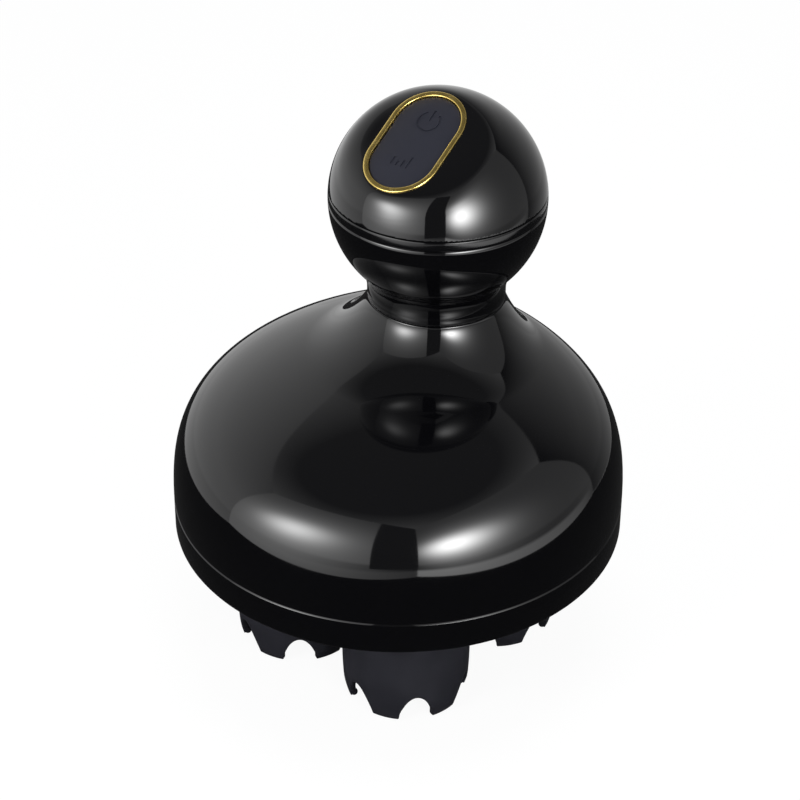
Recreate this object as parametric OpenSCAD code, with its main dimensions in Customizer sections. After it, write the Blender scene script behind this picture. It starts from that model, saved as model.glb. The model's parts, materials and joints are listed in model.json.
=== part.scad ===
// Cordless scalp massager: a round body with an off-centre ball grip and four turning silicone claws.
// The origin is on the body's axis at the claws' tips. +Z is up, and the keypad faces -Y.

/* [Body] */
// Largest diameter of the body
body_d = 112.6; // [111:0.2:120]
// Height of the base ring, from its rim to the seam
base_h = 8.7; // [8:0.1:10]
// Height of the dome, from the seam to the neck
dome_h = 48.8; // [48:0.2:54]
// Radius at which the top of the dome turns from round to hollow
turn_r = 30; // [28:0.5:32]
// Height of that turn above the seam
turn_h = 35; // [34.5:0.1:36]
// Slope of the dome at the turn, in degrees
turn_slope = 16.4; // [15:0.2:19]
// Wall of the dome, the base ring and the ball
wall = 2.2; // [1.8:0.1:2.4]
// Radius of the rim's lower edge
rim_round = 1; // [0.5:0.1:1.5]
// Bevel on each side of the seam
seam_bevel = 0.35; // [0.2:0.05:0.5]

/* [Ball grip] */
// Distance of the grip's axis behind the body's axis
grip_back = 15.8; // [15:0.1:17]
// Diameter of the ball
ball_d = 52.8; // [51:0.2:55]
// Height of the ball's centre above the dome
ball_up = 26.6; // [26:0.1:29]
// Narrowest diameter of the neck
neck_d = 34; // [33:0.2:36]
// Height of the narrowest place above the dome
neck_rise = 2; // [1:0.1:3]
// Height of the band between the two halves of the ball
band_h = 2.4; // [2:0.1:3]

/* [Keypad] */
// Tilt of the keypad's plane from level, in degrees
pad_tilt = 28; // [25:0.5:31]
// Distance of the keypad's plane from the ball's centre
pad_out = 21.1; // [20.8:0.1:21.6]
// Length over the trim ring
pad_l = 29.9; // [28:0.1:30.4]
// Width over the trim ring
pad_w = 19.2; // [18.4:0.1:20]
// Width of the trim ring
trim_w = 1.3; // [1:0.1:1.6]
// Height of the trim ring above the ball's flat
trim_proud = 0.5; // [0.3:0.1:0.8]
// Diameter of each key
key_d = 10.6; // [10:0.1:11]
// Distance between the two keys
key_pitch = 12.4; // [12:0.1:12.8]
// Travel of a key
key_travel = 0.5; // [0.4:0.05:0.6]

/* [Claws] */
// Distance of each claw's axis from the body's axis
claw_orbit = 25.5; // [25:0.5:26]
// Angle between a claw's axis and the body's front or back, in degrees
claw_spread = 44; // [43:0.5:46]
// Turn of the four claws about the body's axis, in degrees
claw_skew = -4; // [-6:0.5:6]
// Depth of the claws' tips below the rim
claw_drop = 35; // [32:0.5:38]
// Largest diameter of a claw
claw_d = 32; // [31:0.2:33]
// Wall of a claw
claw_wall = 1.8; // [1.5:0.1:2.2]
// Depth of a claw's top below the rim
claw_top = 4.5; // [4.2:0.1:5.5]
// Petals on each claw
petals = 6; // [5:1:7]
// Width of the arch between two petals, at the tips
arch_w = 9.2; // [8.4:0.2:9.6]
// Height of the arch
arch_h = 8.4; // [7:0.2:10]
// Diameter of the nubs at the petals' ends
nub_d = 1.9; // [1.6:0.1:2.2]
// Distance that a claw is pulled to take it off
pull_off = 14; // [12:0.5:16]

/* [Gears] */
// Teeth of the middle gear that drives the claws
sun_teeth = 23; // [21:1:25]
// Teeth of the large wheel on the middle gear
drive_teeth = 46; // [44:1:48]
// Module of that wheel and of the pinion that turns it
drive_module = 0.8; // [0.75:0.01:0.85]
// Teeth of the small side of the double gear
double_small_teeth = 14; // [14:1:16]
// Teeth of the large side of the double gear
double_large_teeth = 56; // [52:1:58]
// Teeth of the motor's pinion
pinion_teeth = 14; // [14:1:16]
// Module of the motor's pinion and the wheel that it turns
motor_module = 0.5; // [0.45:0.01:0.52]
// Thickness of the claw gears
claw_gear_t = 5.5; // [5:0.1:6]
// Thickness of the large wheel on the middle gear
drive_t = 3.6; // [3:0.1:4]
// Thickness of the large side of the double gear
double_t = 3; // [2.5:0.1:3.5]
// Play between meshed teeth, along the pitch circle
tooth_play = 0.1; // [0.08:0.01:0.14]
// Diameter of the claws' spindles
spindle_d = 5; // [4.6:0.1:5.4]
// Diameter of the middle gear's axle
sun_axle_d = 3; // [2.6:0.1:3.2]
// Diameter of the double gear's axle
double_axle_d = 2.5; // [2:0.1:3]

/* [Plates and parts inside] */
// Height of the floor above the rim
floor_up = 1.5; // [1:0.1:2]
// Thickness of the floor
floor_t = 2.5; // [2:0.1:3]
// Thickness of the gear plate
gear_plate_t = 2; // [1.8:0.1:2.4]
// Thickness of the motor plate
motor_plate_t = 2.4; // [2:0.1:2.8]
// Diameter of the motor
motor_d = 24.4; // [22:0.2:25]
// Length of the motor
motor_l = 18; // [16:0.2:18.5]
// Diameter of the battery cell
cell_d = 18.3; // [17:0.1:18.6]
// Length of the battery cell
cell_l = 35; // [32:0.5:36]
// Gap between the motor and the cell's cradle
cradle_gap = 1.8; // [1.6:0.1:2.2]
// Width of the main board
board_w = 36; // [32:1:38]
// Depth of the main board, from front to back
board_l = 22; // [20:1:23]
// Thickness of the circuit boards
board_t = 1.2; // [0.8:0.1:1.6]

/* [Fits] */
// Radial clearance of turning fits
run_fit = 0.05; // [0.03:0.01:0.08]
// Clearance between pieces that are pushed together
push_fit = 0.15; // [0.1:0.05:0.25]
// Gap between a key and its window
key_gap = 0.3; // [0.2:0.05:0.4]
// Gap between a gear and what it turns next to
gear_gap = 0.7; // [0.5:0.1:0.9]

/* [Hidden] */
$fn = 96;
joined = 0.01;
pressure_angle = 20;
tooth_top = 0.85;
tooth_root = 1.15;

// Levels, from the claws' tips up
plate_gap = 1.5 * gear_gap;
rim_z = claw_drop;
floor_z = rim_z + floor_up;
floor_top = floor_z + floor_t;
claw_gear_z = floor_top + gear_gap;
gear_plate_z = claw_gear_z + claw_gear_t + gear_gap;
gear_plate_top = gear_plate_z + gear_plate_t;
drive_z = gear_plate_top + gear_gap;
double_z = drive_z + drive_t + gear_gap;
motor_plate_z = double_z + double_t + plate_gap;
motor_plate_top = motor_plate_z + motor_plate_t;
motor_top = motor_plate_top + motor_l;
cradle_z = motor_top + cradle_gap;
seam_z = rim_z + base_h;
neck_z = seam_z + dome_h;
ball_z = neck_z + ball_up;

// Radii
body_r = body_d / 2;
inner_r = body_r - wall;
neck_r = neck_d / 2;
ball_r = ball_d / 2;
claw_r = claw_d / 2;

// Dome: two cubic curves that meet at the turn
dome_sides = 60;
curve_steps = 11;
wall_pull = 17;
turn_pull = 25;
hollow_pull = 8;
neck_pull = 2.2;
turn_dir = [cos(turn_slope), -sin(turn_slope)];
turn_point = [turn_r, turn_h];
low_curve = [[body_r, 0], [body_r, wall_pull], turn_point + turn_pull * turn_dir, turn_point];
high_curve = [turn_point, turn_point - hollow_pull * turn_dir, [neck_r, dome_h - neck_pull], [neck_r, dome_h]];
throat_h = 4;
ledge_w = 1.2;
tongue_h = 3.6;
tongue_t = 2.4;
seal_d = 1.4;

function cubic(p, t) = pow(1 - t, 3) * p[0] + 3 * pow(1 - t, 2) * t * p[1]
    + 3 * (1 - t) * t * t * p[2] + pow(t, 3) * p[3];
function slope(p, t) = 3 * pow(1 - t, 2) * (p[1] - p[0]) + 6 * (1 - t) * t * (p[2] - p[1])
    + 3 * t * t * (p[3] - p[2]);
function inward(d) = [-d[1], d[0]] / norm(d);
// A point of the dome's curve, set in by a depth: [radius, height, radius of the outer skin there]
function skin(p, t, depth) = let (a = cubic(p, t), b = a + depth * inward(slope(p, t))) [b[0], b[1], a[0]];
// How far back a ring of the dome stands, from its radius
function ring_back(r) = let (s = pow(min(1, max(0, (body_r - r) / (body_r - neck_r))), 1.1))
    grip_back * (0.35 * s + 0.65 * (3 - 2 * s) * s * s);
function ring(r, z, back) = [for (i = [0:dome_sides - 1]) let (a = 360 * i / dome_sides)
    [r * cos(a), back + r * sin(a), seam_z + z]];

// Grip: an arc that joins the neck to the ball
arc_drop = ball_up - neck_rise;
arc_r = (pow(arc_drop, 2) + pow(neck_r, 2) - pow(ball_r, 2)) / (2 * (ball_r - neck_r));
arc_x = neck_r + arc_r;
ball_join = ball_r / (ball_r + arc_r);
spigot_r = neck_r - wall - push_fit;
spigot_t = 1.6;
spigot_h = 9;
nut_h = 3;
nut_t = 1;
band_low = 0.3;
sleeve_h = 3.4;
sleeve_t = 1.4;
sleeve_r = sqrt(pow(ball_r - wall, 2) - pow(sleeve_h + band_h, 2)) - push_fit;

// Keypad, from the flat down
mat_l = pad_l - 2 * trim_w - 2 * push_fit;
mat_w = pad_w - 2 * trim_w - 2 * push_fit;
mat_down = 0.1;
trim_sunk = 1.2;
flange_t = 1;
flange_w = 1.2;
key_bottom = wall + flange_t;
pill_d = 4.4;
pill_t = 0.5;
pill_gap = 0.3;
pad_board_down = key_bottom + pill_t + key_travel + pill_gap;
pad_board_d = 30.4;
pad_boss_d = 4;
pad_boss_in = 3.2;
pad_boss_x = pad_board_d / 2 - pad_boss_in;
pad_screw_d = 1.8;
pad_screw_head_d = 3.4;
pad_screw_head_t = 1.2;
key_y = [key_pitch / 2, -key_pitch / 2];

// Claws: 1 front right, 2 front left, 3 rear left, 4 rear right, seen from above
claw_angle = [for (a = [claw_spread - 90, -90 - claw_spread, 90 + claw_spread, 90 - claw_spread]) a + claw_skew];
petal_turn = [45, 37, 8, 20];
claw_x = [for (a = claw_angle) claw_orbit * cos(a)];
claw_y = [for (a = claw_angle) claw_orbit * sin(a)];
claw_shoulder = 7;
claw_lid = 3;
claw_waist = 8;
claw_curl = 25;
hub_d = 10.4;
hub_flange_d = 16;
hub_cap_d = 14;
hub_cap_t = 0.9;
hub_flange_t = 2;
hex_d = 4.8;
hex_top = 5.5;
pull_clear = 1.6;
hex_bottom = claw_top - hub_cap_t + pull_off - pull_clear;
hub_floor = 2;
hub_bottom = hex_bottom + hub_floor;
hex_space = 0.4;
hex_fit = 0.12;
boss_d = 12.4;
boss_drop = 2;
bush_d = 8.4;
bush_up = 0.4;
collar_d = 8;
collar_t = 0.7;
collar_gap = 0.15;

// Gears
claw_module = 2 * claw_orbit / (sun_teeth + round(claw_orbit * 2 - sun_teeth));
claw_teeth = round(2 * claw_orbit / claw_module) - sun_teeth;
double_y = drive_module * (drive_teeth + double_small_teeth) / 2;
motor_y = double_y - motor_module * (double_large_teeth + pinion_teeth) / 2;
sun_hub_d = 8;
double_bottom = drive_z - 0.1;
shaft_d = 2;
shaft_gap = 0.4;
pinion_low = 0.2;
pinion_top_gap = 0.3;
double_turn = mesh_turn(90, 0, drive_teeth, double_small_teeth);
pinion_turn = mesh_turn(-90, double_turn, double_large_teeth, pinion_teeth);

// Screws and posts
post_d = 5.6;
long_screw_d = 2.4;
screw_head_d = 4.8;
screw_head_t = 1.6;
screw_slack = 0.15;
screw_bite = 5.5;
frame_ring_t = 4.4;
frame_ring_h = 3;
frame_gap = 0.65;
frame_boss_d = 6.6;
frame_boss_in = 2.2;
frame_boss_at = inner_r - tongue_t - push_fit - frame_boss_d / 2 - 0.5;
plate_slack = 0.45;
plate_r = frame_boss_at - frame_boss_d / 2 - plate_slack;
post_in = 3;
side_post_in = 6;
rear_post_x = 9;
post_r = plate_r - post_in;
post_y = sqrt(pow(post_r, 2) - pow(rear_post_x, 2));
post_at = [
    [plate_r - side_post_in, 0], [rear_post_x, post_y], [-rear_post_x, post_y],
    [side_post_in - plate_r, 0], [0, -post_r]
];
frame_z = seam_z + tongue_h + 0.4;
base_screw_l = 9;

// Cradle and cell
cradle_t = 1.2;
cradle_floor = 1.5;
cradle_h = 14;
bore_r = spigot_r - spigot_t;
cradle_r = cell_d / 2 + push_fit + cradle_t;
cradle_flange_d = 2 * bore_r - 0.6;
cradle_post_d = 4;
cradle_post_at = [8.5, 6.5];
lead_slot_w = 14;
cell_z = cradle_z + cradle_floor;
cell_cap_d = 5.6;
cell_cap_t = 0.6;

// Main board
board_y = -30;
board_up = 3.6;
board_z = motor_plate_top + board_up;
board_top = board_z + board_t;
stand_d = 4;
stand_at = [for (x = [-1, 1], y = [-1, 1]) [x * (board_w / 2 - 3), board_y + y * (board_l / 2 - 3)]];
board_screw_d = 1.6;
board_screw_head_d = 3;
board_screw_head_t = 1;
chip = [9, 9, 1.4];
chip_at = [6, -6];
plug = [8, 4.5, 3];
plug_at = -9;
coil_d = 6;
coil_h = 2.8;
coil_at = [-9, -3];
lead_d = 1;
contact_d = 3;
contact_x = 6;
contact_z = floor_top + (base_h - floor_up - floor_t) / 2;
contact_in = 3;
battery_lead_x = 5;
motor_lead_x = 8;
lead_front = motor_y - motor_d / 2 - 2;
lead_end = board_y + board_l / 2 - 2;
ribbon_w = 6;
ribbon_t = 0.4;
ribbon_y = grip_back - (cradle_r + bore_r) / 2;

// A plain cylinder between two levels
module rod(d, low, high) {
    translate([0, 0, low]) cylinder(d = d, h = high - low);
}

// A ring between two levels
module collar(outer_d, inner_d, low, high) {
    difference() {
        rod(outer_d, low, high);
        rod(inner_d, low - 1, high + 1);
    }
}

// A bar with round ends, flat, along Y
module stadium(l, w) {
    square([w, l - w], center = true);
    for (s = [-1, 1]) translate([0, s * (l - w) / 2]) circle(d = w);
}

// A slab of that outline between two levels
module bar(l, w, low, high) {
    translate([0, 0, low]) linear_extrude(high - low) stadium(l, w);
}

module at_grip() {
    translate([0, grip_back, 0]) children();
}

// The keypad's frame: Z points out of the flat, Y up along it
module at_pad() {
    translate([0, grip_back, ball_z]) rotate([pad_tilt, 0, 0]) translate([0, 0, pad_out]) children();
}

module at_claw(k) {
    translate([claw_x[k], claw_y[k], 0]) children();
}

module at_claws() {
    for (k = [0:3]) at_claw(k) children();
}

module at_points(points) {
    for (p = points) translate([p[0], p[1], 0]) children();
}

// A screw with its head on top of a level, or under it
module screw(d, head_d, head_t, tip, seat) {
    rod(d, min(tip, seat), max(tip, seat));
    if (seat > tip) rod(head_d, seat, seat + head_t);
    else rod(head_d, seat - head_t, seat);
}

// Directions across a wire, carried from point to point without twist
function across(ways, i, u) = i == len(ways) ? []
    : let (v = u - (u * ways[i]) * ways[i], w = v / norm(v)) concat([w], across(ways, i + 1, w));
function unit(v) = v / norm(v);

// A round wire along a list of points
module wire(points, d) {
    n = 8;
    last = len(points) - 1;
    ways = [for (i = [0:last]) unit(
        (i < last ? unit(points[i + 1] - points[i]) : [0, 0, 0])
        + (i > 0 ? unit(points[i] - points[i - 1]) : [0, 0, 0]))];
    sides = across(ways, 0, unit([1, 0.2, 0.1]));
    rings = [for (i = [0:last], j = [0:n - 1])
        points[i] + d / 2 * (cos(360 * j / n) * sides[i] + sin(360 * j / n) * cross(ways[i], sides[i]))];
    polyhedron(rings, concat(
        [[for (j = [0:n - 1]) j]],
        [for (i = [0:last - 1], j = [0:n - 1]) let (a = i * n, k = (j + 1) % n)
            each [[a + j, a + n + j, a + n + k], [a + j, a + n + k, a + k]]],
        [[for (j = [n - 1:-1:0]) last * n + j]]));
}

// Gear teeth with involute flanks, one tooth centred on X
function involute(a) = tan(a) * 180 / PI - a;
function flank(r, pitch_r, teeth) = let (base_r = pitch_r * cos(pressure_angle))
    90 / teeth - tooth_play / 4 / pitch_r * 180 / PI + involute(pressure_angle)
    - involute(acos(min(1, base_r / r)));
function gear_points(teeth, module_mm) = let (
        pitch_r = teeth * module_mm / 2,
        tip_r = pitch_r + tooth_top * module_mm,
        root_r = pitch_r - tooth_root * module_mm,
        low_r = max(root_r + joined, pitch_r * cos(pressure_angle)),
        radii = [root_r, low_r, (low_r + tip_r) / 2, tip_r])
    [for (i = [0:teeth - 1], side = [-1, 1], j = [0:3])
        let (r = radii[side < 0 ? j : 3 - j], a = 360 * i / teeth + side * flank(r, pitch_r, teeth))
        [r * cos(a), r * sin(a)]];
// Turn of a driven gear that meshes with its driver, on the line from driver to driven at an angle
function mesh_turn(angle, driver_turn, driver_teeth, driven_teeth) =
    angle + 180 - 180 / driven_teeth + (angle - driver_turn) * driver_teeth / driven_teeth;

module gear(teeth, module_mm, low, high, turn) {
    translate([0, 0, low]) rotate([0, 0, turn]) linear_extrude(high - low)
        polygon(gear_points(teeth, module_mm));
}

// ---- Body ----

module base_ring() {
    tongue_r = inner_r - push_fit;
    room_r = tongue_r - tongue_t;
    color("#101012") difference() {
        union() {
            rotate_extrude() difference() {
                union() {
                    translate([body_r - rim_round, rim_z + rim_round]) circle(rim_round);
                    translate([0, rim_z]) square([body_r - rim_round, base_h]);
                    translate([0, rim_z + rim_round]) square([body_r, base_h - rim_round - seam_bevel]);
                    polygon([[0, seam_z], [body_r - seam_bevel, seam_z], [body_r, seam_z - seam_bevel],
                        [0, seam_z - 1]]);
                    translate([room_r, seam_z - 1]) square([tongue_t, tongue_h + 1]);
                }
                translate([-1, floor_top]) square([room_r + 1, base_h + tongue_h]);
                translate([-1, rim_z - 1]) square([inner_r + 1, floor_up + 1]);
                translate([tongue_r - seal_d, seam_z + (tongue_h - seal_d) / 2]) square([seal_d + 1, seal_d]);
            }
            at_points(post_at) rod(post_d, floor_top - joined, gear_plate_z);
            at_claws() rod(boss_d, rim_z - boss_drop, floor_z + joined);
        }
        at_claws() rod(bush_d, rim_z - boss_drop - 1, floor_top + 1);
        rod(sun_axle_d, floor_z - 1, floor_top + 1);
        at_points(post_at) rod(long_screw_d, floor_top - 0.5, gear_plate_z + 1);
        for (a = [45:90:315]) rotate([0, 0, a]) translate([frame_boss_at, 0, 0])
            rod(long_screw_d + 2 * screw_slack, floor_z - 1, floor_top + 1);
        for (s = [-1, 1]) translate([s * contact_x, inner_r - contact_in, contact_z])
            rotate([-90, 0, 0]) cylinder(d = contact_d, h = wall + contact_in + 2);
    }
}

module dome_shell() {
    outer = concat(
        [ring(body_r - seam_bevel, 0, 0)],
        [for (i = [0:curve_steps]) let (t = i / curve_steps, p = skin(low_curve, t, 0))
            ring(p[0], max(p[1], seam_bevel), ring_back(p[0]))],
        [for (i = [1:curve_steps]) let (p = skin(high_curve, i / curve_steps, 0))
            ring(p[0], p[1], ring_back(p[0]))]);
    throat = [
        ring(neck_r - wall, dome_h, grip_back),
        ring(neck_r - wall, dome_h - throat_h, grip_back),
        ring(neck_r - wall + ledge_w, dome_h - throat_h, grip_back)];
    inner = concat(
        [for (i = [curve_steps:-1:1]) let (p = skin(high_curve, i / curve_steps, wall))
            if (p[1] < dome_h - throat_h - 0.5) ring(p[0], p[1], ring_back(p[2]))],
        [for (i = [curve_steps:-1:0]) let (p = skin(low_curve, i / curve_steps, wall))
            ring(p[0], p[1], ring_back(p[2]))]);
    rings = concat(outer, throat, inner);
    n = dome_sides;
    color("#101012") polyhedron(
        points = [for (r = rings) each r],
        faces = [for (i = [0:len(rings) - 1], j = [0:n - 1])
            let (a = i * n, b = (i + 1) % len(rings) * n, k = (j + 1) % n)
            each [[a + j, b + j, b + k], [a + j, b + k, a + k]]]);
}

// Ring with screw bosses, bonded inside the dome above the seam
module dome_frame() {
    ring_d = 2 * (inner_r - frame_gap);
    color("#26272a") difference() {
        union() {
            collar(ring_d, ring_d - 2 * frame_ring_t, frame_z, frame_z + frame_ring_h);
            for (a = [45:90:315]) rotate([0, 0, a]) translate([frame_boss_at, 0, 0])
                rod(frame_boss_d, floor_top, frame_z + frame_boss_in);
        }
        for (a = [45:90:315]) rotate([0, 0, a]) translate([frame_boss_at, 0, 0])
            rod(long_screw_d, floor_top - 1, floor_z + base_screw_l + 0.5);
    }
}

module base_screws() {
    color("#8c8c90") for (a = [45:90:315]) rotate([0, 0, a]) translate([frame_boss_at, 0, 0])
        screw(long_screw_d, screw_head_d, screw_head_t - 0.3, floor_z + base_screw_l, floor_z);
}

module base_seal() {
    color("#1a1a1a") rotate_extrude()
        translate([inner_r - push_fit - seal_d / 2, seam_z + tongue_h / 2]) circle(d = seal_d);
}

// ---- Grip ----

// Half outline of the neck and the ball's lower part, set in by a depth and longer at both ends
module grip_outline(depth, longer = 0) {
    r = ball_r - depth;
    join = [arc_x * ball_join, ball_up - arc_drop * ball_join];
    inner_join = join - depth * [arc_x, -arc_drop] / (ball_r + arc_r);
    translate([0, -longer]) square([neck_r - depth, neck_rise + longer]);
    difference() {
        translate([0, neck_rise - joined]) square([inner_join[0], inner_join[1] - neck_rise + joined]);
        translate([arc_x, neck_rise]) circle(arc_r + depth);
    }
    intersection() {
        translate([0, ball_up]) circle(r);
        translate([0, inner_join[1] - joined])
            square([r + 1, ball_up - band_low - inner_join[1] + joined + longer]);
    }
}

module neck_shell() {
    color("#101012") at_grip() difference() {
        union() {
            translate([0, 0, neck_z]) rotate_extrude() difference() {
                grip_outline(0);
                grip_outline(wall, 1);
            }
            collar(2 * spigot_r, 2 * (spigot_r - spigot_t), neck_z - spigot_h, neck_z + joined);
            collar(2 * (neck_r - wall / 2), 2 * (spigot_r - spigot_t), neck_z, neck_z + 2);
        }
        rotate_extrude() translate([spigot_r - seal_d / 2, neck_z - throat_h / 2])
            square([seal_d + 0.2, seal_d], center = true);
    }
}

// Nut that draws the neck's spigot down from inside the dome
module neck_nut() {
    color("#26272a") at_grip() collar(2 * (spigot_r + nut_t), 2 * spigot_r, neck_z - throat_h - nut_h,
        neck_z - throat_h);
}

module neck_seal() {
    color("#1a1a1a") at_grip() rotate_extrude()
        translate([spigot_r - seal_d / 2, neck_z - throat_h / 2]) circle(d = seal_d);
}

module knob_band() {
    low = ball_z - band_low;
    color("#17171a") at_grip() {
        intersection() {
            translate([0, 0, ball_z]) difference() {
                sphere(ball_r);
                sphere(ball_r - wall);
            }
            rod(2 * ball_r + 2, low, low + band_h);
        }
        collar(2 * (ball_r - wall) + 0.2, 2 * (sleeve_r - sleeve_t), low, low + band_h);
        collar(2 * sleeve_r, 2 * (sleeve_r - sleeve_t), low - sleeve_h, low + band_h + sleeve_h);
    }
}

// Space on the far side of a plane parallel to the keypad's flat
module beyond_flat(depth) {
    at_pad() translate([-ball_d, -ball_d, -depth]) cube([2 * ball_d, 2 * ball_d, ball_d]);
}

module knob_cap() {
    low = ball_z - band_low + band_h;
    color("#101012") difference() {
        union() {
            difference() {
                translate([0, grip_back, ball_z]) sphere(ball_r);
                beyond_flat(0);
                difference() {
                    translate([0, grip_back, ball_z]) sphere(ball_r - wall);
                    beyond_flat(wall);
                }
            }
            for (s = [-1, 1]) at_pad() translate([s * pad_boss_x, 0, 0])
                rod(pad_boss_d, -pad_board_down, -wall / 2);
        }
        at_grip() rod(2 * ball_d, ball_z - ball_d, low);
        at_pad() bar(pad_l, pad_w, -trim_sunk, 5);
        at_pad() bar(mat_l + 2 * push_fit, mat_w + 2 * push_fit, -wall - 1, 5);
        for (s = [-1, 1]) at_pad() translate([s * pad_boss_x, 0, 0])
            rod(pad_screw_d, -pad_board_down - 1, -wall);
    }
}

module trim_ring() {
    color("#e8b51e") at_pad() difference() {
        bar(pad_l, pad_w, -trim_sunk, trim_proud);
        bar(pad_l - 2 * trim_w, pad_w - 2 * trim_w, -trim_sunk - 1, trim_proud + 1);
    }
}

module keypad_mat() {
    color("#2b2c36") at_pad() difference() {
        union() {
            bar(mat_l, mat_w, -wall - flange_t, -mat_down);
            bar(mat_l + 2 * flange_w, mat_w + 2 * flange_w, -wall - flange_t, -wall);
        }
        for (y = key_y) translate([0, y, 0]) rod(key_d + 2 * key_gap, -wall - flange_t - 1, 1);
    }
}

module key(k) {
    color("#2b2c36") at_pad() translate([0, key_y[k], 0]) rod(key_d, -key_bottom, -mat_down);
}

module power_key() {
    key(0);
}

module mode_key() {
    key(1);
}

module pill(k) {
    color("#151515") at_pad() translate([0, key_y[k], 0]) rod(pill_d, -key_bottom - pill_t, -key_bottom);
}

module power_pill() {
    pill(0);
}

module mode_pill() {
    pill(1);
}

module key_board() {
    color("#1d5a36") at_pad() difference() {
        rod(pad_board_d, -pad_board_down - board_t, -pad_board_down);
        for (s = [-1, 1]) translate([s * pad_boss_x, 0, 0])
            rod(pad_screw_d + screw_slack, -pad_board_down - board_t - 1, 0);
    }
}

module key_board_screws() {
    seat = -pad_board_down - board_t;
    color("#8c8c90") at_pad() for (s = [-1, 1]) translate([s * pad_boss_x, 0, 0])
        screw(pad_screw_d, pad_screw_head_d, pad_screw_head_t, -wall - 0.4, seat);
}

// ---- Battery and boards ----

module battery_cradle() {
    color("#26272a") at_grip() {
        difference() {
            rod(2 * cradle_r, cradle_z, cell_z + cradle_h);
            rod(cell_d + 2 * push_fit, cell_z, cell_z + cradle_h + 1);
        }
        difference() {
            collar(cradle_flange_d, cell_d, cradle_z, cell_z);
            translate([-lead_slot_w / 2, -cradle_flange_d, cradle_z - 1])
                cube([lead_slot_w, cradle_flange_d - cell_d / 2 + 1, cradle_floor + 2]);
        }
        for (s = [-1, 1]) translate([s * cradle_post_at[0], cradle_post_at[1], 0])
            rod(cradle_post_d, motor_plate_top, cradle_z + joined);
    }
}

module battery_cell() {
    color("#2f6fb0") at_grip() {
        rod(cell_d, cell_z, cell_z + cell_l);
        rod(cell_cap_d, cell_z + cell_l - joined, cell_z + cell_l + cell_cap_t);
    }
}

// Leads from the cell's two ends, through the slot in the cradle, down to the main board
module battery_leads() {
    cap_z = cell_z + cell_l + cell_cap_t;
    side = cradle_r + lead_d / 2 + 0.3;
    color("#b02a24") for (s = [-1, 1]) let (
            x = s * battery_lead_x,
            y = grip_back - sqrt(pow(side, 2) - pow(x, 2)),
            start = s < 0 ? [0, grip_back - 1, cap_z] : [x, grip_back - 4, cell_z + cell_l])
        wire([
            start,
            [start[0], start[1], cap_z + 2],
            [x, y, cap_z + 2],
            [x, y, cradle_z - cradle_gap / 2],
            [x, lead_front, cradle_z - cradle_gap / 2],
            [x, lead_end, board_top + 6],
            [x, lead_end, board_top]
        ], lead_d);
}

module main_board() {
    color("#1d5a36") difference() {
        translate([-board_w / 2, board_y - board_l / 2, board_z]) cube([board_w, board_l, board_t]);
        at_points(stand_at) rod(board_screw_d + screw_slack, board_z - 1, board_top + 1);
    }
}

module board_parts() {
    color("#2a2a2c") {
        translate([chip_at[0], board_y + chip_at[1], board_top]) cube(chip);
        translate([-plug[0] / 2, board_y + plug_at, board_top]) cube(plug);
        translate([coil_at[0], board_y + coil_at[1], 0]) rod(coil_d, board_top, board_top + coil_h);
    }
}

module board_screws() {
    color("#8c8c90") at_points(stand_at)
        screw(board_screw_d, board_screw_head_d, board_screw_head_t, board_z - 3, board_top);
}

// Flat ribbon from the back of the key board down to the plug on the main board
module key_ribbon() {
    back = pad_out - pad_board_down - board_t;
    start_z = ball_z + back * cos(pad_tilt) + (ribbon_y - grip_back + back * sin(pad_tilt)) * tan(pad_tilt);
    plug_y = board_y + plug_at + plug[1] / 2;
    plug_top = board_top + plug[2];
    route = [[ribbon_y, start_z - ribbon_t], [ribbon_y, cradle_z - cradle_gap / 2],
        [lead_front, cradle_z - cradle_gap / 2], [plug_y, plug_top + 4], [plug_y, plug_top]];
    color("#c98a35") translate([-ribbon_w / 2, 0, 0]) rotate([90, 0, 90]) linear_extrude(ribbon_w)
        for (i = [0:len(route) - 2]) let (a = route[i], v = route[i + 1] - a)
            translate(a) rotate(atan2(v[1], v[0])) translate([0, -ribbon_t / 2])
                square([norm(v), ribbon_t]);
}

module charge_contacts() {
    face = sqrt(pow(body_r, 2) - pow(contact_x + contact_d / 2, 2)) - 0.1;
    color("#d8b24a") for (s = [-1, 1]) translate([s * contact_x, inner_r - contact_in, contact_z])
        rotate([-90, 0, 0]) cylinder(d = contact_d, h = face - inner_r + contact_in);
}

// Leads from the charging contacts round the left side to the main board
module charge_leads() {
    color("#b02a24") for (s = [-1, 1]) let (
            r = plate_r + 2.5 + s * 0.8,
            z = motor_plate_top + 3 + s * 0.8,
            out_y = board_y + board_l / 2 - 6 + s * 2)
        wire(concat(
            [[s * contact_x, inner_r - contact_in, contact_z], [s * contact_x, r, contact_z],
                [s * contact_x, r, z]],
            [for (a = [105:15:195]) [r * cos(a), r * sin(a), z]],
            [[-board_w / 2 + 5, out_y, board_top + 3], [-board_w / 2 + 5, out_y, board_top]]
        ), lead_d);
}

// ---- Motor and gears ----

module motor_can() {
    color("#b9bcc2") translate([0, motor_y, 0]) {
        difference() {
            rod(motor_d, motor_plate_top, motor_top);
            rod(shaft_d + 2 * run_fit, motor_plate_top - 1, motor_top - 3);
        }
    }
}

module motor_leads() {
    color("#2b4fa8") for (x = [-motor_lead_x, motor_lead_x])
        wire([
            [x, motor_y - motor_d / 4, motor_top],
            [x, motor_y - motor_d / 4, cradle_z - cradle_gap / 2],
            [x, lead_front, cradle_z - cradle_gap / 2],
            [x, lead_end, board_top + 6],
            [x, lead_end, board_top]
        ], lead_d);
}

module motor_pinion() {
    color("#c9a24a") translate([0, motor_y, 0]) {
        gear(pinion_teeth, motor_module, double_z - pinion_low, motor_plate_z - pinion_top_gap, pinion_turn);
        rod(shaft_d, double_z - shaft_gap, motor_top - 4);
    }
}

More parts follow.
